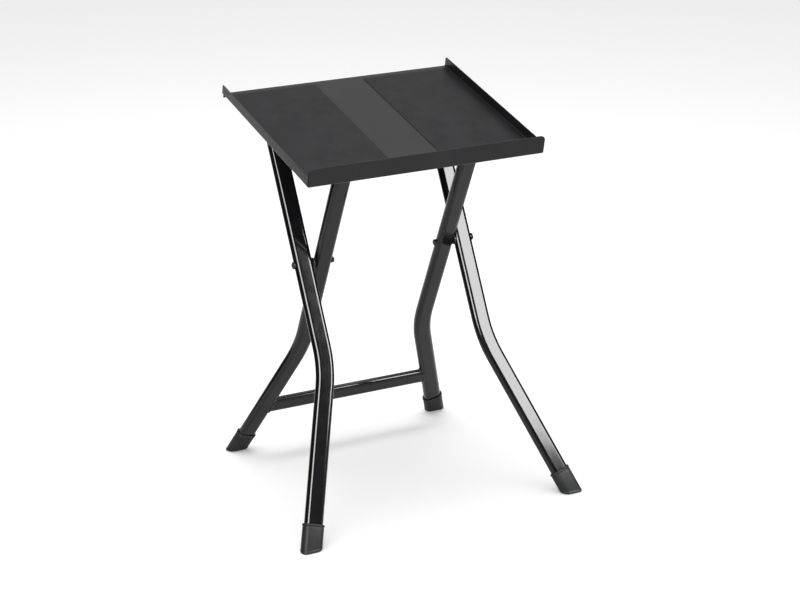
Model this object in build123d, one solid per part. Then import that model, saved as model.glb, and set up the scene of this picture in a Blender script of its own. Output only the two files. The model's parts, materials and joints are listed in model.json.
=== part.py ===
"""Folding stand with a tilted tray: two scissored tube frames and a sheet-metal tray.

Millimetres and degrees. +X is to the user's right, +Y is to the back, +Z is up.
The origin is on the floor, under the middle of the stand. The tray slopes down
to the front, where its tall wall stops what rests on it.

The outer frame stands on the front feet and leans back: its top rail carries the
tray's hinge. The inner frame stands on the rear feet and leans forward: the tray's
front saddles rest on its top rail. Two bolts join the frames where they cross.

What comes in pairs is modelled on the left, where x is negative, and mirrored.
"""

import os
from math import cos, radians, sin

from build123d import *

# ---- whole stand -------------------------------------------------------------------
PIVOT_Y = 15.8           # the scissor bolts' axis, from the origin
PIVOT_Z = 403.6
OUTER_LEAN = 29.19       # of the outer frame from upright, top to the back
INNER_LEAN = -25.68      # of the inner frame from upright, top to the front

# ---- tray --------------------------------------------------------------------------
TRAY_WIDTH = 422.0
TRAY_DEPTH = 349.5       # along the slope
TRAY_TILT = 11.42
TRAY_MIDDLE_Y = PIVOT_Y + 9.9
TRAY_MIDDLE_Z = 624.5    # top of the sheet at the tray's middle
SHEET = 1.2
BEND_INSIDE = 1.0
SIDE_LIP = 15.8          # heights above the top of the sheet
FRONT_WALL = 30.9
WALL_CORNER = 10.0       # radius of the front wall's top corners
LIP_CORNER = 3.0
REAR_FLANGE = 8.0        # turned down along the back edge
BACK_EDGE_RADIUS = 1.5
MAT_THICKNESS = 0.8
MAT_TOP_EDGE = 0.3        # rounding of a mat's upper edge
MAT_GAP = 90.0           # bare sheet between the two mats
MAT_REAR_MARGIN = 12.0
MAT_EDGE = 0.3           # from a mat to the start of a bend
MAT_CORNER = 3.0

# ---- legs: flat-oval tube, its wide faces to the front and back ---------------------
TUBE_WIDTH = 32.0
TUBE_THICKNESS = 16.0
TUBE_WALL = 1.5
LEG_BEND_RADIUS = 220.0
SOLE = 6.0               # rubber between a tube's end and the floor
SOLE_EDGE = 2.2          # rounding round the sole and the rim
RIM_EDGE = 0.9
OUTER_LEG_X = 149.1      # centre of the upright stretch
OUTER_BEND_DROP = 175.7  # along the leg, from the pivot to the bend's corner
OUTER_SPLAY = 18.33      # outward turn below the bend
INNER_LEG_X = 114.6
INNER_BEND_DROP = 198.9
INNER_SPLAY = 18.89

# ---- rails and cross bar -----------------------------------------------------------
RAIL_RADIUS = 11.0
RAIL_WALL = 1.5
RAIL_DROP = 20.0         # rail axis below the tray's underside
OUTER_RAIL_HALF = OUTER_LEG_X + TUBE_WIDTH / 2
INNER_RAIL_SHORT = 1.6    # of the inner rail's end, from the leg's side
INNER_RAIL_HALF = INNER_LEG_X + TUBE_WIDTH / 2 - INNER_RAIL_SHORT
PLUG_FLANGE = 1.4
PLUG_ROUND = 1.1
PLUG_DEPTH = 9.0
CROSS_BAR_RUN = 153.3    # along the lower leg, from the bend's corner
CROSS_BAR_WIDTH = 30.0
CROSS_BAR_THICKNESS = 14.0

# ---- scissor pivots ----------------------------------------------------------------
BOLT_RADIUS = 3.0
BOLT_CHAMFER = 0.5
PIVOT_CLEARANCE = 0.05
SLEEVE_RADIUS = 5.0
SLEEVE_PROUD = 0.5       # past the tube's rounded edge
HEAD_RADIUS = 6.2
HEAD_HEIGHT = 3.0
HEAD_ROUND = 2.3          # rounding of the head's rim
HEAD_SOCKET = 4.0         # across flats
NUT_FLATS = 10.0
NUT_HEX = 3.0
NUT_DOME = 1.4
NUT_DOME_RADIUS = 4.2
NUT_DOME_ROUND = 1.2
SPACER_RADIUS = 8.5

# ---- feet --------------------------------------------------------------------------
BOOT_WALL = 2.2
BOOT_SIDE_FLAT = 0.2     # height of the flat at the middle of a boot's rounded side
BOOT_LENGTH = 43.0       # along the leg, from the floor to the rim

# ---- tray hinge and saddles ----------------------------------------------------------
HINGE_X = 90.0
HINGE_WIDTH = 30.0
HINGE_HALF_LENGTH = 23.0
HINGE_CORNER = 4.0        # of the blocks and caps, seen from above
HINGE_SCREW_Y = 18.0     # from the rail's axis, to the front and to the back
CAP_RADIUS = 14.0
CAP_EAR = 4.0
SCREW_RADIUS = 2.0
SCREW_HEAD_RADIUS = 4.0
SCREW_END = 1.0          # thread past the nut
HINGE_NUT_FLATS = 7.0
HINGE_NUT_HEIGHT = 3.2
SADDLE_X = 75.0
SADDLE_WIDTH = 30.0
SADDLE_GAP = 0.3
SADDLE_LENGTH = 10.0     # in front of the rail
SADDLE_HOOK = 4.0        # below the rail's axis
SADDLE_REAR_ANGLE = 15.0  # forward of the rail's top, where its support ends
SADDLE_SCREW_X = 9.0     # either side of a saddle's middle
SADDLE_SCREW_RADIUS = 1.75
SADDLE_SCREW_LENGTH = 14.0
SADDLE_SCREW_WALL = 1.0    # of the saddle, between its screws and the rail

FAR = 1000.0             # larger than the stand, for cutting tools


# ---- where things are ----------------------------------------------------------------
def frame_plane(lean):
    """The plane of a leg frame: x to the right, y up along the legs, z to the front."""
    lean = radians(lean)
    return Plane(origin=(0, PIVOT_Y, PIVOT_Z), x_dir=(1, 0, 0), z_dir=(0, -cos(lean), sin(lean)))


def tray_plane():
    """The top of the tray's sheet: x to the right, y to the back along the slope, z off it."""
    tilt = radians(TRAY_TILT)
    middle = (0, TRAY_MIDDLE_Y, TRAY_MIDDLE_Z)
    return Plane(origin=middle, x_dir=(1, 0, 0), z_dir=(0, -sin(tilt), cos(tilt)))


OUTER = frame_plane(OUTER_LEAN)
INNER = frame_plane(INNER_LEAN)
TRAY = tray_plane()
RAIL_Z = -(SHEET + RAIL_DROP)          # both rails' height in the tray's plane


def rail_reach(frame):
    """How far up a frame's legs its rail's axis is."""
    pivot_below = TRAY.to_local_coords(frame.origin).Z
    rise = frame.y_dir.dot(TRAY.z_dir)
    return (RAIL_Z - pivot_below) / rise


OUTER_REACH = rail_reach(OUTER)
INNER_REACH = rail_reach(INNER)
HINGE_Y = TRAY.to_local_coords(OUTER.from_local_coords(Vector(0, OUTER_REACH, 0))).Y
SADDLE_Y = TRAY.to_local_coords(INNER.from_local_coords(Vector(0, INNER_REACH, 0))).Y
OUTER_FOOT = PIVOT_Z / cos(radians(OUTER_LEAN))
INNER_FOOT = PIVOT_Z / cos(radians(INNER_LEAN))


def rod(radius, start, end, y=0.0, z=0.0):
    """A cylinder along x from start to end."""
    low, high = min(start, end), max(start, end)
    return Pos((low + high) / 2, y, z) * Rot(0, 90, 0) * Cylinder(radius, high - low)


def pin(radius, x, y, low, high):
    """A cylinder along z from low to high."""
    return Pos(x, y, (low + high) / 2) * Cylinder(radius, high - low)


def above_floor(shape, height):
    """What of a shape, placed in the stand, is above a level."""
    return shape - Pos(0, 0, height - FAR / 2) * Box(2 * FAR, 2 * FAR, FAR)


# ---- legs ------------------------------------------------------------------------------
class Leg:
    """A frame's left leg, worked out in the frame's plane."""

    def __init__(self, frame, x, reach, bend_drop, splay, foot):
        self.frame = frame
        self.top = Vector(-x, reach)
        self.corner = Vector(-x, -bend_drop)
        self.down = Vector(-sin(radians(splay)), -cos(radians(splay)))
        self.floor_run = (foot - bend_drop) / cos(radians(splay))

    def below_bend(self, run):
        """The point of the lower centre line that is run past the bend's corner."""
        return self.corner + self.down * run

    def flat_bar(self, width, thickness):
        """A solid flat-oval bar along the leg's whole path, running on below the floor."""
        past_floor = self.below_bend(self.floor_run + 2 * TUBE_WIDTH)
        path = FilletPolyline(self.top, self.corner, past_floor, radius=LEG_BEND_RADIUS)
        start = Plane(origin=path @ 0, x_dir=(1, 0, 0), z_dir=path % 0)
        return self.frame * sweep(start * SlotOverall(width, thickness), path=path)

    def outside(self):
        return self.flat_bar(TUBE_WIDTH, TUBE_THICKNESS)

    def tube(self):
        """The leg, mitred over its rail, drilled for the pivot and cut off at the foot."""
        core = self.flat_bar(TUBE_WIDTH - 2 * TUBE_WALL, TUBE_THICKNESS - 2 * TUBE_WALL)
        rail = self.frame * rod(RAIL_RADIUS, -FAR, FAR, y=self.top.Y)
        hole = self.frame * rod(SLEEVE_RADIUS, -FAR, 0)
        return above_floor(self.outside() - core - rail - hole, SOLE)

    def boot(self):
        """A rubber sleeve with a closed sole, flat on the floor."""
        width = TUBE_WIDTH + 2 * BOOT_WALL
        thickness = TUBE_THICKNESS + 2 * BOOT_WALL
        rim = Plane(
            origin=self.below_bend(self.floor_run - BOOT_LENGTH),
            x_dir=(-self.down.Y, self.down.X, 0),
            z_dir=self.down,
        )
        outline = RectangleRounded(width, thickness, (thickness - BOOT_SIDE_FLAT) / 2)
        sleeve = self.frame * extrude(rim * outline, 2 * BOOT_LENGTH)
        sleeve = above_floor(sleeve, 0)
        sole = sleeve.faces().sort_by(Axis.Z)[0]
        sleeve = fillet(sole.edges(), SOLE_EDGE)
        rim_face = sleeve.faces().filter_by(GeomType.PLANE).sort_by(Axis.Z)[-1]
        sleeve = fillet(rim_face.edges(), RIM_EDGE)
        return sleeve - above_floor(self.outside(), SOLE)


def outer_leg():
    return Leg(OUTER, OUTER_LEG_X, OUTER_REACH, OUTER_BEND_DROP, OUTER_SPLAY, OUTER_FOOT)


def inner_leg():
    return Leg(INNER, INNER_LEG_X, INNER_REACH, INNER_BEND_DROP, INNER_SPLAY, INNER_FOOT)


# ---- rails, plugs, cross bar -------------------------------------------------------------
def top_rail(frame, reach, half_length):
    tube = rod(RAIL_RADIUS, -half_length, half_length, y=reach)
    return frame * (tube - rod(RAIL_RADIUS - RAIL_WALL, -FAR, FAR, y=reach))


def rounded_end(shape, radius):
    """A rod with its outer, left end rounded."""
    return fillet(shape.edges().filter_by(GeomType.CIRCLE).sort_by(Axis.X)[0], radius)


def rail_plug(frame, reach, half_length):
    """A plastic plug, pushed into the rail's end, with a rounded flange."""
    flange = rod(RAIL_RADIUS, -half_length - PLUG_FLANGE, -half_length, y=reach)
    inner_end = PLUG_DEPTH - half_length
    shank = rod(RAIL_RADIUS - RAIL_WALL, -half_length, inner_end, y=reach)
    hollow = rod(RAIL_RADIUS - 2 * RAIL_WALL, -half_length, inner_end, y=reach)
    return frame * (rounded_end(flange, PLUG_ROUND) + (shank - hollow))


def cross_bar():
    """The flat-oval bar between the inner legs, notched round them."""
    middle = inner_leg().below_bend(CROSS_BAR_RUN)
    section = Plane(origin=middle, x_dir=(0, 1, 0), z_dir=(1, 0, 0))
    wall = 2 * TUBE_WALL
    length = -2 * middle.X
    outside = extrude(section * SlotOverall(CROSS_BAR_WIDTH, CROSS_BAR_THICKNESS), length)
    core = SlotOverall(CROSS_BAR_WIDTH - wall, CROSS_BAR_THICKNESS - wall)
    tube = INNER * (outside - extrude(section * core, length))
    leg = inner_leg().outside()
    return (tube - leg - mirror(leg, about=Plane.YZ)).solids().sort_by(SortBy.VOLUME)[-1]


# ---- scissor pivots ------------------------------------------------------------------------
HEAD_SEAT = -(OUTER_LEG_X + TUBE_WIDTH / 2 + SLEEVE_PROUD)
NUT_SEAT = -(INNER_LEG_X - TUBE_WIDTH / 2 - SLEEVE_PROUD - PIVOT_CLEARANCE)
NUT_END = NUT_SEAT + NUT_HEX


def sleeve(frame, leg_x, bore):
    """A bush welded through a leg."""
    half = TUBE_WIDTH / 2 + SLEEVE_PROUD
    ends = -leg_x - half, -leg_x + half
    return frame * (rod(SLEEVE_RADIUS, *ends) - rod(bore, *ends))


def pivot_bolt():
    """A button-head bolt along x, its head outside the outer leg."""
    head = rounded_end(rod(HEAD_RADIUS, HEAD_SEAT - HEAD_HEIGHT, HEAD_SEAT), HEAD_ROUND)
    mouth = Plane(origin=(HEAD_SEAT - HEAD_HEIGHT, 0, 0), z_dir=(1, 0, 0))
    socket = RegularPolygon(HEAD_SOCKET / 2, 6, major_radius=False)
    shank = rod(BOLT_RADIUS, HEAD_SEAT, NUT_END)
    shank = chamfer(shank.edges().filter_by(GeomType.CIRCLE).sort_by(Axis.X)[-1], BOLT_CHAMFER)
    return OUTER * (head + shank - extrude(mouth * socket, HEAD_HEIGHT / 2))


def pivot_nut():
    """A domed nut on the bolt's inner end."""
    seat = Plane(origin=(NUT_SEAT, 0, 0), z_dir=(1, 0, 0))
    body = extrude(seat * RegularPolygon(NUT_FLATS / 2, 6, major_radius=False), NUT_HEX)
    dome = rod(NUT_DOME_RADIUS, NUT_SEAT, NUT_END + NUT_DOME)
    dome = fillet(dome.edges().filter_by(GeomType.CIRCLE).sort_by(Axis.X)[-1], NUT_DOME_ROUND)
    return OUTER * (body + dome - rod(BOLT_RADIUS, NUT_SEAT, NUT_END))


def pivot_spacer():
    """A nylon washer between the two legs."""
    outer_face = -(OUTER_LEG_X - TUBE_WIDTH / 2 - SLEEVE_PROUD)
    inner_face = -(INNER_LEG_X + TUBE_WIDTH / 2 + SLEEVE_PROUD + PIVOT_CLEARANCE)
    ends = outer_face, inner_face
    return OUTER * (rod(SPACER_RADIUS, *ends) - rod(BOLT_RADIUS, *ends))


# ---- tray, worked out in its own plane ---------------------------------------------------------
def bent_box(width, front, back, low, high, bend):
    """A box whose lower side and front edges and upright front edges are rounded."""
    box = Pos(0, (front + back) / 2, (low + high) / 2) * Box(width, back - front, high - low)
    floor = box.edges().group_by(Axis.Z)[0]
    sides = floor.filter_by(Axis.Y)
    nose = floor.filter_by(Axis.X).sort_by(Axis.Y)[0]
    posts = box.edges().filter_by(Axis.Z).sort_by(Axis.Y)[:2]
    return fillet([*sides, nose, *posts], bend)


def wall_corner():
    """What is cut away to round the left top corner of the front wall."""
    radius = WALL_CORNER
    middle = (radius - TRAY_WIDTH / 2, radius - TRAY_DEPTH / 2, FRONT_WALL - radius)
    facing = Plane(origin=middle, x_dir=(1, 0, 0), z_dir=(0, -1, 0))
    square = Pos(-radius, radius) * Rectangle(2 * radius, 2 * radius)
    return extrude(facing * (square - Circle(radius)), 2 * radius)


def back_edge_cutter(width):
    """What is cut away to round the fold along the back edge."""
    radius = BACK_EDGE_RADIUS
    fold = Plane(
        origin=(-width / 2, TRAY_DEPTH / 2 - radius, -radius), x_dir=(0, 1, 0), z_dir=(1, 0, 0)
    )
    square = Pos(radius, radius) * Rectangle(2 * radius, 2 * radius)
    return extrude(fold * (square - Circle(radius)), width)


def screw_places():
    """Middles of the tray's countersunk holes: (x, y, radius)."""
    hinge = [
        (side * HINGE_X, HINGE_Y + end * HINGE_SCREW_Y, SCREW_RADIUS)
        for side in (-1, 1)
        for end in (-1, 1)
    ]
    saddle = [
        (side * SADDLE_X + end * SADDLE_SCREW_X, saddle_screw_y(), SADDLE_SCREW_RADIUS)
        for side in (-1, 1)
        for end in (-1, 1)
    ]
    return hinge, saddle


def saddle_screw_y():
    return SADDLE_Y - RAIL_RADIUS - SADDLE_GAP - SADDLE_SCREW_RADIUS - SADDLE_SCREW_WALL


def countersunk_head(x, y, radius):
    """A screw head that fills its dimple in the sheet, level with the top."""
    return Pos(x, y, -SHEET / 2) * Cone(radius, SCREW_HEAD_RADIUS, SHEET)


def tray_pan():
    """One folded sheet: low side lips, a tall front wall and a turned-down back edge."""
    half = TRAY_DEPTH / 2
    bend = BEND_INSIDE + SHEET
    shell = bent_box(TRAY_WIDTH, -half, half, -SHEET, FRONT_WALL, bend)
    shell -= bent_box(
        TRAY_WIDTH - 2 * SHEET, -half + SHEET, half + FRONT_WALL, 0, 2 * FRONT_WALL, BEND_INSIDE
    )
    lips_above = Box(2 * TRAY_WIDTH, TRAY_DEPTH, FRONT_WALL)
    shell -= Pos(0, bend, SIDE_LIP + FRONT_WALL / 2) * lips_above
    shell -= wall_corner()
    shell -= mirror(wall_corner(), about=Plane.YZ)
    tips = shell.edges().filter_by(Axis.X).group_by(Axis.Y)[-1].group_by(Axis.Z)[-1]
    shell = fillet(tips, LIP_CORNER)

    flange_width = TRAY_WIDTH - 2 * bend
    flange = Pos(0, half - SHEET / 2, -REAR_FLANGE / 2) * Box(flange_width, SHEET, REAR_FLANGE)
    shell += flange
    shell -= back_edge_cutter(flange_width)

    hinge, saddle = screw_places()
    for place in hinge + saddle:
        shell -= countersunk_head(*place)
    return TRAY * shell


def tray_mat():
    """A thin non-slip mat stuck on the left of the tray."""
    inner = MAT_GAP / 2
    outer = TRAY_WIDTH / 2 - SHEET - BEND_INSIDE - MAT_EDGE
    front = -TRAY_DEPTH / 2 + SHEET + BEND_INSIDE + MAT_EDGE
    back = TRAY_DEPTH / 2 - MAT_REAR_MARGIN
    outline = RectangleRounded(outer - inner, back - front, MAT_CORNER)
    middle = Pos(-(inner + outer) / 2, (front + back) / 2)
    mat = extrude(middle * outline, MAT_THICKNESS)
    mat = fillet(mat.faces().sort_by(Axis.Z)[-1].edges(), MAT_TOP_EDGE)
    return TRAY * mat


def hinge_block():
    """The upper half of a hinge, screwed under the tray, over the outer rail."""
    x = -HINGE_X
    box = Box(HINGE_WIDTH, 2 * HINGE_HALF_LENGTH, RAIL_DROP)
    block = Pos(x, HINGE_Y, -SHEET - RAIL_DROP / 2) * box
    block = fillet(block.edges().filter_by(Axis.Z), HINGE_CORNER)
    block -= rod(RAIL_RADIUS + PIVOT_CLEARANCE, -FAR, FAR, y=HINGE_Y, z=RAIL_Z)
    for end in (-1, 1):
        block -= pin(SCREW_RADIUS, x, HINGE_Y + end * HINGE_SCREW_Y, 2 * RAIL_Z, 0)
    return TRAY * block


def hinge_cap():
    """The lower half of a hinge: a half ring with an ear for each screw."""
    x = -HINGE_X
    ears = Pos(x, HINGE_Y, RAIL_Z - CAP_EAR / 2) * Box(HINGE_WIDTH, 2 * HINGE_HALF_LENGTH, CAP_EAR)
    ears = fillet(ears.edges().filter_by(Axis.Z), HINGE_CORNER)
    ring = rod(CAP_RADIUS, x - HINGE_WIDTH / 2, x + HINGE_WIDTH / 2, y=HINGE_Y, z=RAIL_Z)
    above = Pos(x, HINGE_Y, RAIL_Z + CAP_RADIUS) * Box(2 * HINGE_WIDTH, FAR, 2 * CAP_RADIUS)
    cap = ears + (ring - above)
    cap -= rod(RAIL_RADIUS + PIVOT_CLEARANCE, -FAR, FAR, y=HINGE_Y, z=RAIL_Z)
    for end in (-1, 1):
        cap -= pin(SCREW_RADIUS, x, HINGE_Y + end * HINGE_SCREW_Y, 2 * RAIL_Z, 0)
    return TRAY * cap


def hinge_screws():
    """Countersunk screws down through sheet, block and cap."""
    end = RAIL_Z - CAP_EAR - HINGE_NUT_HEIGHT - SCREW_END
    screws = [
        countersunk_head(x, y, radius) + pin(radius, x, y, end, -SHEET)
        for x, y, radius in screw_places()[0]
    ]
    return TRAY * Compound(screws)


def hinge_nuts():
    under_ear = RAIL_Z - CAP_EAR
    outline = RegularPolygon(HINGE_NUT_FLATS / 2, 6, major_radius=False)
    nuts = []
    for x, y, radius in screw_places()[0]:
        nut = extrude(Pos(x, y, under_ear) * outline, -HINGE_NUT_HEIGHT)
        nuts.append(nut - pin(radius, x, y, 2 * RAIL_Z, 0))
    return TRAY * Compound(nuts)


def saddle():
    """A block under the tray that rests on the front of the inner rail."""
    arc_radius = RAIL_RADIUS + SADDLE_GAP
    rear = radians(SADDLE_REAR_ANGLE)
    rear_y, rear_z = -arc_radius * sin(rear), arc_radius * cos(rear)
    middle = radians(45 + SADDLE_REAR_ANGLE / 2)
    front_y = -arc_radius - SADDLE_LENGTH
    outline = Polyline(
        (rear_y, rear_z),
        (rear_y, RAIL_DROP),
        (front_y, RAIL_DROP),
        (front_y, 0),
        (front_y + SADDLE_HOOK, -SADDLE_HOOK),
        (-arc_radius, -SADDLE_HOOK),
        (-arc_radius, 0),
    )
    arc_middle = (-arc_radius * sin(middle), arc_radius * cos(middle))
    outline += ThreePointArc((-arc_radius, 0), arc_middle, (rear_y, rear_z))
    x = -SADDLE_X
    section = Plane(origin=(x - SADDLE_WIDTH / 2, SADDLE_Y, RAIL_Z), x_dir=(0, 1, 0), z_dir=(1, 0, 0))
    block = extrude(section * make_face(outline), SADDLE_WIDTH)
    for end in (-1, 1):
        place = x + end * SADDLE_SCREW_X, saddle_screw_y()
        block -= pin(SADDLE_SCREW_RADIUS, *place, -SADDLE_SCREW_LENGTH, 0)
    return TRAY * block


def saddle_screws():
    screws = [
        countersunk_head(x, y, radius) + pin(radius, x, y, -SADDLE_SCREW_LENGTH, -SHEET)
        for x, y, radius in screw_places()[1]
    ]
    return TRAY * Compound(screws)


# ---- the nodes ---------------------------------------------------------------------------------
def single_nodes():
    return {
        "outer_top_rail": top_rail(OUTER, OUTER_REACH, OUTER_RAIL_HALF),
        "inner_top_rail": top_rail(INNER, INNER_REACH, INNER_RAIL_HALF),
        "inner_cross_bar": cross_bar(),
        "tray_pan": tray_pan(),
        "hinge_screws": hinge_screws(),
        "hinge_nuts": hinge_nuts(),
        "saddle_screws": saddle_screws(),
    }


def left_nodes():
    return {
        "outer_leg": outer_leg().tube(),
        "front_foot": outer_leg().boot(),
        "outer_rail_plug": rail_plug(OUTER, OUTER_REACH, OUTER_RAIL_HALF),
        "outer_sleeve": sleeve(OUTER, OUTER_LEG_X, BOLT_RADIUS),
        "pivot_bolt": pivot_bolt(),
        "pivot_nut": pivot_nut(),
        "pivot_spacer": pivot_spacer(),
        "inner_leg": inner_leg().tube(),
        "rear_foot": inner_leg().boot(),
        "inner_rail_plug": rail_plug(INNER, INNER_REACH, INNER_RAIL_HALF),
        "inner_sleeve": sleeve(INNER, INNER_LEG_X, BOLT_RADIUS + PIVOT_CLEARANCE),
        "tray_mat": tray_mat(),
        "hinge_block": hinge_block(),
        "hinge_cap": hinge_cap(),
        "tray_saddle": saddle(),
    }


if __name__ == "__main__":
    os.makedirs("parts", exist_ok=True)
    for name, shape in single_nodes().items():
        export_step(shape, f"parts/{name}.step")
    for name, shape in left_nodes().items():
        export_step(shape, f"parts/{name}_left.step")
        export_step(mirror(shape, about=Plane.YZ), f"parts/{name}_right.step")
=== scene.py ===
"""Looks of the folding tray table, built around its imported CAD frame. Metres and degrees.

The CAD nodes keep their shapes and get procedural finishes. The rubber boots are made
again in more detail, and weld beads are added. The rest is a studio.
"""

import json
from math import ceil, cos, pi, radians, sin, sqrt

import bmesh
import bpy
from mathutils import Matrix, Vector


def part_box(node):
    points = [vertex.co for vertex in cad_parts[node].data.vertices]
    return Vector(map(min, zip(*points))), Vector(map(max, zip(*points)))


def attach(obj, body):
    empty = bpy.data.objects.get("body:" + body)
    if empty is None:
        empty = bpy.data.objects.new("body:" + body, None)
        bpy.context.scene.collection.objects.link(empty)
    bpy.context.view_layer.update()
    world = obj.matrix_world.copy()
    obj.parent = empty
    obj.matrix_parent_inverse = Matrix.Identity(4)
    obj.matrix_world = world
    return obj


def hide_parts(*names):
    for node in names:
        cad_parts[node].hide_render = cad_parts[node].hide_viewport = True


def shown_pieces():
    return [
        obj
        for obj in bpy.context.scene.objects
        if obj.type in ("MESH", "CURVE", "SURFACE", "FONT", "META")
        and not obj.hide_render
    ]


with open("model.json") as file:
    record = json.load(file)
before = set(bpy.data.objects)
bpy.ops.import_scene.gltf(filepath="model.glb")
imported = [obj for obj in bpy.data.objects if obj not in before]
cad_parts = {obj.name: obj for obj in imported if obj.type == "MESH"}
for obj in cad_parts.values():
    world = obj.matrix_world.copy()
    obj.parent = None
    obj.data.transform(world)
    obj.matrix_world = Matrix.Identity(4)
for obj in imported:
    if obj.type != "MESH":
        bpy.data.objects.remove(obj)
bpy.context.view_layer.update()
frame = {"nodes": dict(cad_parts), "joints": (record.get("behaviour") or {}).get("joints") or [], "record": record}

# ---- sizes that the added pieces share with the CAD ---------------------------------
MM = 0.001
TUBE_WIDTH = 32 * MM
TUBE_THICKNESS = 16 * MM
RAIL_RADIUS = 11 * MM
INNER_RAIL_SHORT = 1.6 * MM      # of the inner rail's end, from the leg's side
OUTER_SPLAY = 18.33              # outward turn of the lower legs, in the frame's plane
INNER_SPLAY = 18.89
CROSS_BAR_WIDTH = 30 * MM
CROSS_BAR_THICKNESS = 14 * MM
BOOT_WALL = 2.2 * MM
BOOT_LENGTH = 43 * MM

RIGHT = Vector((1, 0, 0))


# ---- materials ------------------------------------------------------------------------
class Finish:
    """A Principled material whose nodes are placed in the objects' own coordinates."""

    def __init__(self, name):
        self.material = bpy.data.materials.new(name)
        self.material.use_nodes = True
        self.nodes = self.material.node_tree.nodes
        self.links = self.material.node_tree.links
        self.shader = self.nodes["Principled BSDF"]
        self.place = self.nodes.new("ShaderNodeTexCoord").outputs["Object"]
        self.normal = None

    def set(self, **values):
        for name, value in values.items():
            self.shader.inputs[name.replace("_", " ")].default_value = value

    def noise(self, size, detail=3.0):
        """Soft noise with features of about that size."""
        noise = self.nodes.new("ShaderNodeTexNoise")
        noise.inputs["Scale"].default_value = 1 / size
        noise.inputs["Detail"].default_value = detail
        self.links.new(self.place, noise.inputs["Vector"])
        return noise.outputs["Fac"]

    def pebbles(self, size):
        """Rounded cells of that size, high in the middle and low at the edges."""
        cells = self.nodes.new("ShaderNodeTexVoronoi")
        cells.feature = "SMOOTH_F1"
        cells.inputs["Scale"].default_value = 1 / size
        cells.inputs["Smoothness"].default_value = 0.35
        self.links.new(self.place, cells.inputs["Vector"])
        return self.ranged(cells.outputs["Distance"], 0.0, 0.9, 1.0, 0.0)

    def ranged(self, source, low, high, to_low, to_high):
        spread = self.nodes.new("ShaderNodeMapRange")
        for name, value in zip(("From Min", "From Max", "To Min", "To Max"), (low, high, to_low, to_high)):
            spread.inputs[name].default_value = value
        self.links.new(source, spread.inputs["Value"])
        return spread.outputs["Result"]

    def colour(self, source, dark, light):
        ramp = self.nodes.new("ShaderNodeValToRGB")
        ramp.color_ramp.elements[0].position = 0.35
        ramp.color_ramp.elements[1].position = 0.65
        ramp.color_ramp.elements[0].color = (*dark, 1)
        ramp.color_ramp.elements[1].color = (*light, 1)
        self.links.new(source, ramp.inputs["Fac"])
        self.links.new(ramp.outputs["Color"], self.shader.inputs["Base Color"])

    def roughness(self, source, smooth, rough):
        self.links.new(self.ranged(source, 0.3, 0.7, smooth, rough), self.shader.inputs["Roughness"])

    def bump(self, source, height):
        """Relief of that height, on top of what is there already."""
        bump = self.nodes.new("ShaderNodeBump")
        bump.inputs["Distance"].default_value = height
        self.links.new(source, bump.inputs["Height"])
        if self.normal:
            self.links.new(self.normal, bump.inputs["Normal"])
        self.normal = bump.outputs["Normal"]
        self.links.new(self.normal, self.shader.inputs["Normal"])


def gloss_paint():
    """Black enamel on the tubes: a slight orange peel, and a haze that comes and goes."""
    finish = Finish("gloss_paint")
    finish.set(IOR=1.38)
    finish.colour(finish.noise(0.05), (0.0020, 0.0020, 0.0025), (0.0040, 0.0038, 0.0042))
    finish.roughness(finish.noise(0.02, 3), 0.085, 0.125)
    finish.bump(finish.noise(0.005, 2), 5e-6)
    return finish.material


def satin_paint():
    """Fine powder coat on the tray."""
    finish = Finish("satin_paint")
    finish.set(IOR=1.34, Specular_Tint=(1.0, 0.97, 1.0, 1))
    finish.colour(finish.noise(0.06), (0.0030, 0.0026, 0.0030), (0.0050, 0.0044, 0.0049))
    finish.roughness(finish.noise(0.02, 6), 0.27, 0.295)
    finish.bump(finish.noise(0.0012, 3), 14e-6)
    return finish.material


def mat_rubber():
    """Non-slip sheet with a close pebble grain."""
    finish = Finish("mat_rubber")
    finish.set(IOR=1.205, Specular_Tint=(0.97, 0.95, 1.0, 1))
    finish.colour(finish.noise(0.04, 5), (0.0042, 0.0041, 0.0046), (0.0064, 0.0062, 0.0069))
    finish.roughness(finish.noise(0.015, 6), 0.36, 0.44)
    finish.bump(finish.pebbles(0.0013), 60e-6)
    finish.bump(finish.noise(0.0004, 2), 10e-6)
    return finish.material


def boot_rubber():
    """Moulded rubber with a dull bloom."""
    finish = Finish("boot_rubber")
    finish.set(IOR=1.31)
    finish.colour(finish.noise(0.012, 5), (0.0050, 0.0053, 0.0053), (0.0085, 0.0088, 0.0088))
    finish.roughness(finish.noise(0.006, 6), 0.42, 0.56)
    finish.bump(finish.noise(0.0007, 3), 30e-6)
    return finish.material


def black_nylon(name):
    """Moulded plastic with a spark-eroded grain."""
    finish = Finish(name)
    finish.set(IOR=1.5)
    finish.colour(finish.noise(0.01, 4), (0.010, 0.010, 0.011), (0.017, 0.017, 0.018))
    finish.roughness(finish.noise(0.004, 5), 0.36, 0.48)
    finish.bump(finish.noise(0.0005, 3), 16e-6)
    return finish.material


def black_steel():
    """Black zinc on the bolts, nuts and screws, with small lighter patches at random."""
    finish = Finish("black_steel")
    finish.set(Metallic=0.85)
    finish.colour(finish.noise(0.003, 6), (0.016, 0.016, 0.018), (0.045, 0.044, 0.046))
    finish.roughness(finish.noise(0.002, 6), 0.26, 0.42)
    finish.bump(finish.noise(0.0008, 4), 8e-6)
    return finish.material


FINISHES = {
    "gloss_paint": gloss_paint(),
    "satin_paint": satin_paint(),
    "mat_rubber": mat_rubber(),
    "boot_rubber": boot_rubber(),
    "black_steel": black_steel(),
    "black_nylon": black_nylon("black_nylon"),
    "plug_plastic": black_nylon("plug_plastic"),
}


def finish_cad_nodes():
    """Every CAD node takes the finish that the record names for it."""
    for part in frame["record"]["subparts"]:
        mesh = frame["nodes"][part["node"]].data
        mesh.materials.clear()
        mesh.materials.append(FINISHES[part["material_slot"]])


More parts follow.
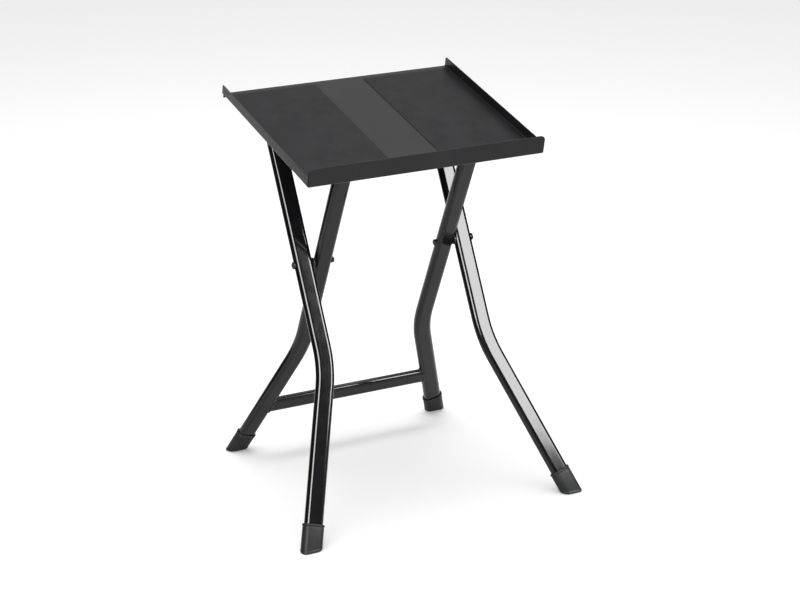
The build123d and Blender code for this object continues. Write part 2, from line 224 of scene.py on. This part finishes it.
# ---- mesh helpers ------------------------------------------------------------------------
def new_piece(name, mesh, slot, body):
    """A smooth piece on a body, in one of the record's finishes."""
    mesh.materials.append(FINISHES[slot])
    mesh.shade_smooth()
    piece = bpy.data.objects.new(name, mesh)
    bpy.context.scene.collection.objects.link(piece)
    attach(piece, body)
    return piece


def loft(name, rings):
    """A closed skin over rings that have the same number of points, with a face on each end."""
    count = len(rings[0])
    faces = [tuple(range(count)), tuple(range(len(rings) * count - count, len(rings) * count))]
    for row in range(len(rings) - 1):
        for i in range(count):
            j = (i + 1) % count
            low, high = row * count, (row + 1) * count
            faces.append((low + i, low + j, high + j, high + i))
    mesh = bpy.data.meshes.new(name)
    mesh.from_pydata([p for ring in rings for p in ring], [], faces)
    shell = bmesh.new()
    shell.from_mesh(mesh)
    bmesh.ops.recalc_face_normals(shell, faces=shell.faces)
    shell.to_mesh(mesh)
    shell.free()
    return mesh


def oval(half_width, half_thickness, steps=14):
    """Points round a flat oval, from its right end: two straight sides and two half circles."""
    shift = half_width - half_thickness
    points = []
    for side in (1, -1):
        start = -pi / 2 if side == 1 else pi / 2
        for i in range(steps + 1):
            angle = start + pi * i / steps
            points.append((side * shift + half_thickness * cos(angle), half_thickness * sin(angle)))
    return points


def evenly(points, step, closed):
    """Points along the same line, about step apart."""
    line = [*points, points[0]] if closed else list(points)
    reach = [0.0]
    for a, b in zip(line, line[1:]):
        reach.append(reach[-1] + (b - a).length)
    count = ceil(reach[-1] / step)
    spots, at = [], 0
    for i in range(count if closed else count + 1):
        run = reach[-1] * i / count
        while at < len(line) - 2 and reach[at + 1] < run:
            at += 1
        span = reach[at + 1] - reach[at]
        spots.append(line[at].lerp(line[at + 1], (run - reach[at]) / span if span else 0))
    return spots


# ---- weld beads -----------------------------------------------------------------------------
WELD_STEP = 0.5 * MM
WELD_PITCH = 2.2 * MM            # from one ripple to the next
WELD_RIPPLE = 0.16               # share of the bead's radius
WELD_END = 0.45                  # radius at an open bead's ends, as a share
WELD_TAPER = 0.12                # how much of the radius each step adds from there
RAIL_WELD_RADIUS = 1.7 * MM
RAIL_WELD_REACH = 0.8            # towards the rail's end, as a share of the tube's half width
CROSS_BAR_WELD_RADIUS = 2.1 * MM


def weld_bead(name, path, radius, body, closed):
    """A rippled bead under the paint, along a line where two tubes meet."""
    spots = evenly(path, WELD_STEP, closed)
    curve = bpy.data.curves.new(name, "CURVE")
    curve.dimensions = "3D"
    curve.bevel_depth = radius
    curve.bevel_resolution = 3
    curve.use_fill_caps = True
    spline = curve.splines.new("POLY")
    spline.points.add(len(spots) - 1)
    spline.use_cyclic_u = closed
    for i, (point, spot) in enumerate(zip(spline.points, spots)):
        point.co = (*spot, 1)
        phase = (i * WELD_STEP / WELD_PITCH) % 1
        end = 1.0 if closed else min(1.0, WELD_END + WELD_TAPER * min(i, len(spots) - 1 - i))
        point.radius = end * (1 - WELD_RIPPLE + WELD_RIPPLE * sin(pi * phase))
    holder = bpy.data.objects.new(name, curve)
    bpy.context.scene.collection.objects.link(holder)
    mesh = bpy.data.meshes.new_from_object(holder.evaluated_get(bpy.context.evaluated_depsgraph_get()))
    bpy.data.objects.remove(holder)
    mesh.name = name
    mesh.materials.clear()
    return new_piece(name, mesh, "gloss_paint", body)


# ---- the leg frames' places, read from the CAD ---------------------------------------------
def joint_place(name):
    return Vector(next(j["pos_m"] for j in frame["joints"] if j["name"] == name))


def middle_of(node):
    low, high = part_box(node)
    return (low + high) / 2


def mount_place(name):
    return Vector(next(m["pos_m"] for m in frame["record"]["mounts"] if m["name"] == name))


PIVOT = joint_place("leg_fold")


class LegFrame:
    """One scissor frame: its plane, and where its legs, rail and feet are."""

    def __init__(self, body, end, rail_axis, leg_x, splay):
        self.body, self.end, self.leg_x = body, end, leg_x
        self.reach = (rail_axis - PIVOT).length
        self.up = (rail_axis - PIVOT).normalized()
        self.front = RIGHT.cross(self.up)
        self.splay = radians(splay)

    def point(self, x, y, z):
        """x to the right, y up along the frame from the pivots, z to the front."""
        return PIVOT + RIGHT * x + self.up * y + self.front * z

    def lower_leg_up(self, side):
        """The direction up along a lower leg: side is 1 on the right."""
        return self.up * cos(self.splay) - RIGHT * side * sin(self.splay)

    def lower_leg_across(self, side):
        return RIGHT * cos(self.splay) + self.up * side * sin(self.splay)


def rail_half(node):
    low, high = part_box(node)
    return (high.x - low.x) / 2


OUTER = LegFrame(
    "outer_frame", "front", joint_place("tray_lift"),
    rail_half("outer_top_rail") - TUBE_WIDTH / 2, OUTER_SPLAY,
)
INNER = LegFrame(
    "inner_frame", "rear", middle_of("inner_top_rail"),
    rail_half("inner_top_rail") - TUBE_WIDTH / 2 + INNER_RAIL_SHORT, INNER_SPLAY,
)
SIDES = (("left", -1), ("right", 1))


def rail_welds(legs, name):
    """Beads round the legs' tops, on the rail, open at the rail's end."""
    for side_name, side in SIDES:
        outline = oval(TUBE_WIDTH / 2, TUBE_THICKNESS / 2)
        ends_at = RAIL_WELD_REACH * TUBE_WIDTH / 2
        line = [(x, z) for x, z in outline if side * x < ends_at]
        gap = next((i for i, (a, b) in enumerate(zip(line, line[1:])) if side * min(a[0], b[0]) > 0
                    and abs(a[1] - b[1]) > TUBE_THICKNESS / 4), len(line) - 1)
        line = line[gap + 1:] + line[:gap + 1]
        path = [
            legs.point(side * legs.leg_x + x, legs.reach - sqrt(RAIL_RADIUS ** 2 - z ** 2), z)
            for x, z in line
        ]
        weld_bead(f"{name}_{side_name}", path, RAIL_WELD_RADIUS, legs.body, closed=False)


def cross_bar_welds():
    """Beads where the cross bar meets the sides of the inner legs."""
    bar = middle_of("inner_cross_bar")
    height = (bar - PIVOT).dot(INNER.up)
    for side_name, side in SIDES:
        foot = mount_place(f"rear_foot_{side_name}")
        up, across = INNER.lower_leg_up(side), INNER.lower_leg_across(side)
        path = []
        for y, z in oval(CROSS_BAR_WIDTH / 2, CROSS_BAR_THICKNESS / 2):
            half = TUBE_WIDTH / 2 - TUBE_THICKNESS / 2 + sqrt((TUBE_THICKNESS / 2) ** 2 - z ** 2)
            start = foot - across * side * half + INNER.front * z
            rise = height + y - (start - PIVOT).dot(INNER.up)
            path.append(start + up * (rise / up.dot(INNER.up)))
        weld_bead(f"cross_bar_weld_{side_name}", path, CROSS_BAR_WELD_RADIUS, INNER.body, closed=True)


# ---- rubber boots ---------------------------------------------------------------------------
# (inset from the wall's outside, distance below the rim), from the tube's side outward
BOOT_RIM = [
    (2.35, 7.0), (2.25, 1.4), (2.0, 0.5), (1.5, 0.1), (0.9, 0.0), (0.2, 0.15), (-0.35, 0.6), (-0.65, 1.3),
    (-0.7, 2.2), (-0.65, 3.1), (-0.35, 3.8), (0.05, 4.2), (0.3, 4.6), (0.3, 5.1), (0.1, 5.6), (0.0, 6.4),
    (0.0, 10.0), (0.0, 14.0),
]
BOOT_SOLE_EDGE = 2.6             # rounding, in mm
BOOT_SOLE_BAND = 5.0             # height of the step above the sole, in mm
BOOT_BAND_STEP = 0.25            # how far the wall is set in above the band, in mm
BOOT_BAND_PROUD = 0.1            # how far the band stands out from the wall, in mm
BOOT_GROOVE = (5.2, 6.4, 1.1)    # the sole's ring groove: outer inset, inner inset, depth, in mm
BOOT_SOLE_INSET = 9.6            # of the innermost ring, in mm


def boot_profile():
    """(inset, distance below the rim or None, height above the floor or None), in mm."""
    rows = [(inset, below, None) for inset, below in BOOT_RIM]
    band, step, proud = BOOT_SOLE_BAND, BOOT_BAND_STEP, BOOT_BAND_PROUD
    rows += [(0.0, None, band + 1.6), (step, None, band + 0.5), (step, None, band)]
    rows.append((-proud, None, band - 0.5))
    radius = BOOT_SOLE_EDGE
    for i in range(7):
        angle = radians(15 * i)
        rows.append((radius * (1 - cos(angle)) - proud, None, radius * (1 - sin(angle))))
    outer, inner, depth = BOOT_GROOVE
    rows += [(outer - 0.3, None, 0), (outer, None, 0.2 * depth), (outer + 0.1, None, depth)]
    rows += [(inner - 0.1, None, depth), (inner, None, 0.2 * depth), (inner + 0.3, None, 0)]
    rows.append((BOOT_SOLE_INSET, None, 0))
    return rows


def boot(legs, side_name, side):
    """A moulded boot: a proud collar, a plain wall, a stepped sole with a ring groove."""
    node = f"{legs.end}_foot_{side_name}"
    sole = mount_place(node)
    up, across = legs.lower_leg_up(side), legs.lower_leg_across(side)
    rim = sole + up * BOOT_LENGTH
    rings = []
    for inset, below, height in boot_profile():
        ring = []
        half_width = TUBE_WIDTH / 2 + BOOT_WALL - inset * MM
        for x, z in oval(half_width, half_width - (TUBE_WIDTH - TUBE_THICKNESS) / 2, steps=18):
            spot = rim + across * x + legs.front * z
            if below is None:
                spot += up * ((height * MM - spot.z) / up.z)
            else:
                spot -= up * (below * MM)
            ring.append(spot)
        rings.append(ring)
    piece = new_piece(f"boot_{node}", loft(f"boot_{node}", rings), "boot_rubber", legs.body)
    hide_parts(node)


# ---- studio ------------------------------------------------------------------------------------
STAND_MIDDLE = Vector((0, 0, 0.38))
WORLD_WHITE = 0.80               # strength, for all but the camera
WORLD_DARK = 0.16
DARK_TOWARDS = (12, 30)          # azimuth and elevation of the dark zone's middle
DARK_CORE = 38                   # fully dark this far from its middle
DARK_EDGE = 66                   # and fully white from here on
FLOOR_REACH = 30                 # half the floor's side
FLOOR_GLOW = 0.22
CAMERA_PLACE = (-1.48466, -2.97943, 1.56761)
CAMERA_TILT = 69.46
CAMERA_TURN = -26.827
CAMERA_LENS = 94.63              # mm, on a sensor 36 mm wide
SENSOR_WIDTH = 36.0


def towards(azimuth, elevation):
    """A direction from the stand: azimuth 0 is to the front, 90 to the right."""
    a, e = radians(azimuth), radians(elevation)
    return Vector((sin(a) * cos(e), -cos(a) * cos(e), sin(e)))


def softbox(name, azimuth, elevation, distance, size, radiance, only=None):
    """An area light that faces the stand: a disk, or a rectangle if it has two sizes."""
    light = bpy.data.lights.new(name, "AREA")
    direction = towards(azimuth, elevation)
    if len(size) == 1:
        light.shape, light.size = "DISK", size[0]
        area = pi * size[0] ** 2 / 4
    else:
        light.shape, light.size, light.size_y = "RECTANGLE", *size
        area = size[0] * size[1]
    light.energy = radiance * pi * area
    lamp = bpy.data.objects.new(name, light)
    lamp.location = STAND_MIDDLE + direction * distance
    lamp.rotation_euler = direction.to_track_quat("Z", "Y").to_euler()
    lamp.visible_camera = False
    if only:
        lamp.light_linking.receiver_collection = only
    bpy.context.scene.collection.objects.link(lamp)


def flag(name, x, front, back, height):
    """A black card beside the stand, seen only in reflections, that darkens the tubes' edges."""
    mesh = bpy.data.meshes.new(name)
    mesh.from_pydata([(x, front, 0), (x, back, 0), (x, back, height), (x, front, height)], [], [(0, 1, 2, 3)])
    finish = Finish(name)
    finish.set(Roughness=1.0, Specular_IOR_Level=0.0)
    finish.colour(finish.noise(0.5, 1), (0.004, 0.004, 0.004), (0.008, 0.008, 0.008))
    mesh.materials.append(finish.material)
    card = bpy.data.objects.new(name, mesh)
    card.visible_camera = card.visible_diffuse = card.visible_shadow = card.visible_transmission = False
    bpy.context.scene.collection.objects.link(card)


def studio_world():
    """White all round for the camera, and with one dark zone, fixed in the studio, for the rest."""
    world = bpy.data.worlds.new("studio")
    world.use_nodes = True
    nodes, links = world.node_tree.nodes, world.node_tree.links
    direction = nodes.new("ShaderNodeTexCoord").outputs["Generated"]
    facing = nodes.new("ShaderNodeVectorMath")
    facing.operation = "DOT_PRODUCT"
    facing.inputs[1].default_value = towards(*DARK_TOWARDS)
    links.new(direction, facing.inputs[0])
    shade = nodes.new("ShaderNodeMapRange")
    shade.interpolation_type = "SMOOTHSTEP"
    shade.inputs["From Min"].default_value = cos(radians(DARK_EDGE))
    shade.inputs["From Max"].default_value = cos(radians(DARK_CORE))
    shade.inputs["To Min"].default_value = WORLD_WHITE
    shade.inputs["To Max"].default_value = WORLD_DARK
    links.new(facing.outputs["Value"], shade.inputs["Value"])
    seen = nodes.new("ShaderNodeLightPath").outputs["Is Camera Ray"]
    strength = nodes.new("ShaderNodeMath")
    strength.operation = "MAXIMUM"
    links.new(shade.outputs["Result"], strength.inputs[0])
    links.new(seen, strength.inputs[1])
    links.new(strength.outputs["Value"], nodes["Background"].inputs["Strength"])
    nodes["Background"].inputs["Color"].default_value = (1, 1, 1, 1)
    bpy.context.scene.world = world


def studio_floor():
    """A pale floor that glows a little, so that it stays light round the stand."""
    mesh = bpy.data.meshes.new("floor")
    corners = ((-1, -1), (1, -1), (1, 1), (-1, 1))
    mesh.from_pydata([(x * FLOOR_REACH, y * FLOOR_REACH, 0) for x, y in corners], [], [(0, 1, 2, 3)])
    finish = Finish("floor")
    finish.set(Roughness=0.9, Specular_IOR_Level=0.1)
    finish.colour(finish.noise(3.0, 1), (0.93, 0.93, 0.93), (0.95, 0.95, 0.95))
    finish.set(Emission_Color=(1, 1, 1, 1), Emission_Strength=FLOOR_GLOW)
    mesh.materials.append(finish.material)
    floor = bpy.data.objects.new("floor", mesh)
    bpy.context.scene.collection.objects.link(floor)


def camera():
    data = bpy.data.cameras.new("camera")
    data.sensor_width = SENSOR_WIDTH
    data.lens = CAMERA_LENS
    lens = bpy.data.objects.new("camera", data)
    lens.location = CAMERA_PLACE
    lens.rotation_euler = (radians(CAMERA_TILT), 0, radians(CAMERA_TURN))
    bpy.context.scene.collection.objects.link(lens)
    bpy.context.scene.camera = lens


bpy.context.scene.view_settings.view_transform = "Standard"
camera()
finish_cad_nodes()
rail_welds(OUTER, "outer_rail_weld")
rail_welds(INNER, "inner_rail_weld")
cross_bar_welds()
for legs in (OUTER, INNER):
    for side_name, side in SIDES:
        boot(legs, side_name, side)

stand = bpy.data.collections.new("stand")
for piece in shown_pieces():
    stand.objects.link(piece)

studio_world()
studio_floor()
softbox("overhead", 0, 90, 2.3, (2.4, 2.4), radiance=3.0)
softbox("key", 42, 30, 3.0, (1.4,), radiance=25, only=stand)
softbox("fill", -41, 33, 3.15, (1.5, 1.3), radiance=24, only=stand)
flag("left_flag", x=-0.75, front=-0.47, back=0.9, height=1.0)
flag("right_flag", x=0.75, front=-0.43, back=0.9, height=1.0)
